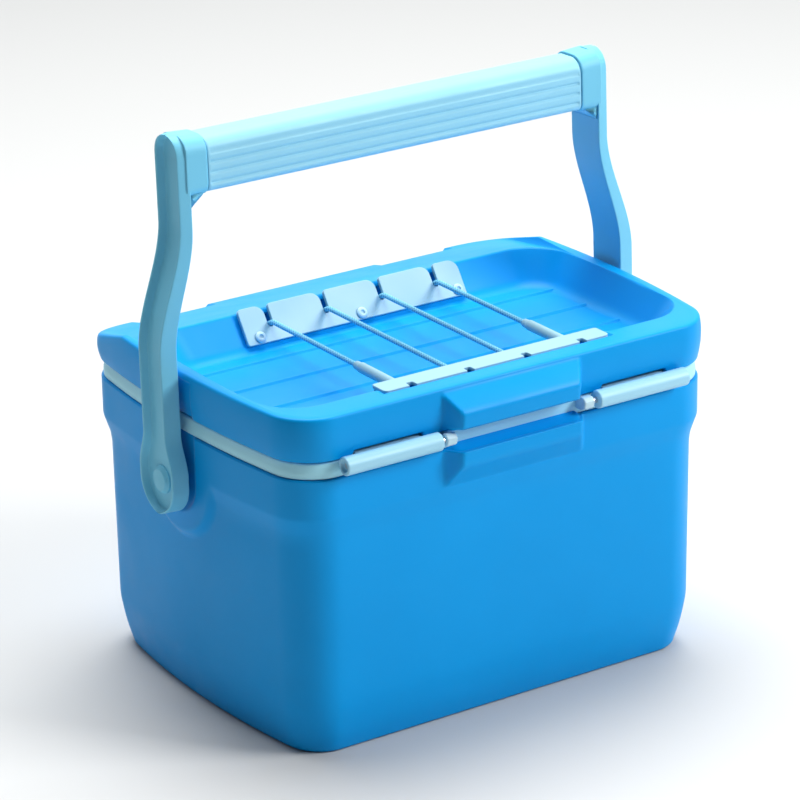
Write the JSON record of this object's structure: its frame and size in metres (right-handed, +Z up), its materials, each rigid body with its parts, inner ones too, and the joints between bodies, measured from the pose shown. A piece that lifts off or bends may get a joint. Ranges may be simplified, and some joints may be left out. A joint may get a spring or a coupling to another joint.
{
  "type": "cooler chest",
  "caption": "Small insulated lunch cooler with a tray lid laced with elastic cord, paired front latches and a folding carry handle.",
  "frame": {"origin": "middle of the footprint on the floor: centre of the chest's flat base", "axes": "+Z up; +Y from the front, where the latches are, to the back; +X to the right as seen from the front"},
  "size_m": [0.324, 0.2505, 0.3362],
  "materials": {
    "blue_plastic": "satin moulded blue",
    "pale_plastic": "satin moulded light blue",
    "grip_plastic": "matte ribbed light blue",
    "collar_plastic": "matte pale grey",
    "white_plastic": "matte white",
    "foam": "rigid insulating foam, cream",
    "seal_rubber": "matte grey",
    "pin_steel": "plain steel",
    "elastic_cord": "woven sheath, light blue"
  },
  "bodies": {
    "chest": {"body_shell": "blue_plastic", "body_insulation": "foam", "inner_liner": "collar_plastic", "latch_pin_left": "pin_steel", "latch_pin_right": "pin_steel", "hinge_pin_left": "pin_steel", "hinge_pin_right": "pin_steel", "pivot_pin_left": "pale_plastic", "pivot_pin_right": "pale_plastic", "pivot_washer_left": "collar_plastic", "pivot_washer_right": "collar_plastic"},
    "lid": {"lid_shell": "blue_plastic", "lid_liner": "white_plastic", "lid_gasket": "seal_rubber", "lid_insulation": "foam", "hinge_left": "pale_plastic", "hinge_right": "pale_plastic", "rear_cord_plate": "pale_plastic", "front_cord_plate": "pale_plastic", "bungee_cord": "elastic_cord", "cord_end_left": "pale_plastic", "cord_end_right": "pale_plastic", "rear_plate_screw_1": "pin_steel", "rear_plate_screw_2": "pin_steel", "rear_plate_screw_3": "pin_steel", "front_plate_screw_1": "pin_steel", "front_plate_screw_2": "pin_steel", "front_plate_screw_3": "pin_steel"},
    "handle": {"handle_arm_left": "pale_plastic", "handle_arm_right": "pale_plastic", "handle_grip_sleeve": "grip_plastic", "handle_grip_core": "collar_plastic"},
    "latch_left": {"latch_left": "pale_plastic"},
    "latch_right": {"latch_right": "pale_plastic"}
  },
  "joints": [
    {"name": "lid_hinge", "type": "hinge", "parent": "chest", "child": "lid", "pos_m": [0, 0.1192, 0.176], "axis": [-1, 0, 0], "range_deg": [0, 12]},
    {"name": "handle_pivot", "type": "hinge", "parent": "chest", "child": "handle", "pos_m": [0, 0.002, 0.139], "axis": [1, 0, 0], "range_deg": [-125, 125]},
    {"name": "latch_left_pivot", "type": "hinge", "parent": "chest", "child": "latch_left", "pos_m": [0, -0.1192, 0.176], "axis": [1, 0, 0], "range_deg": [0, 12]},
    {"name": "latch_right_pivot", "type": "hinge", "parent": "chest", "child": "latch_right", "pos_m": [0, -0.1192, 0.176], "axis": [1, 0, 0], "range_deg": [0, 12]}
  ]
}
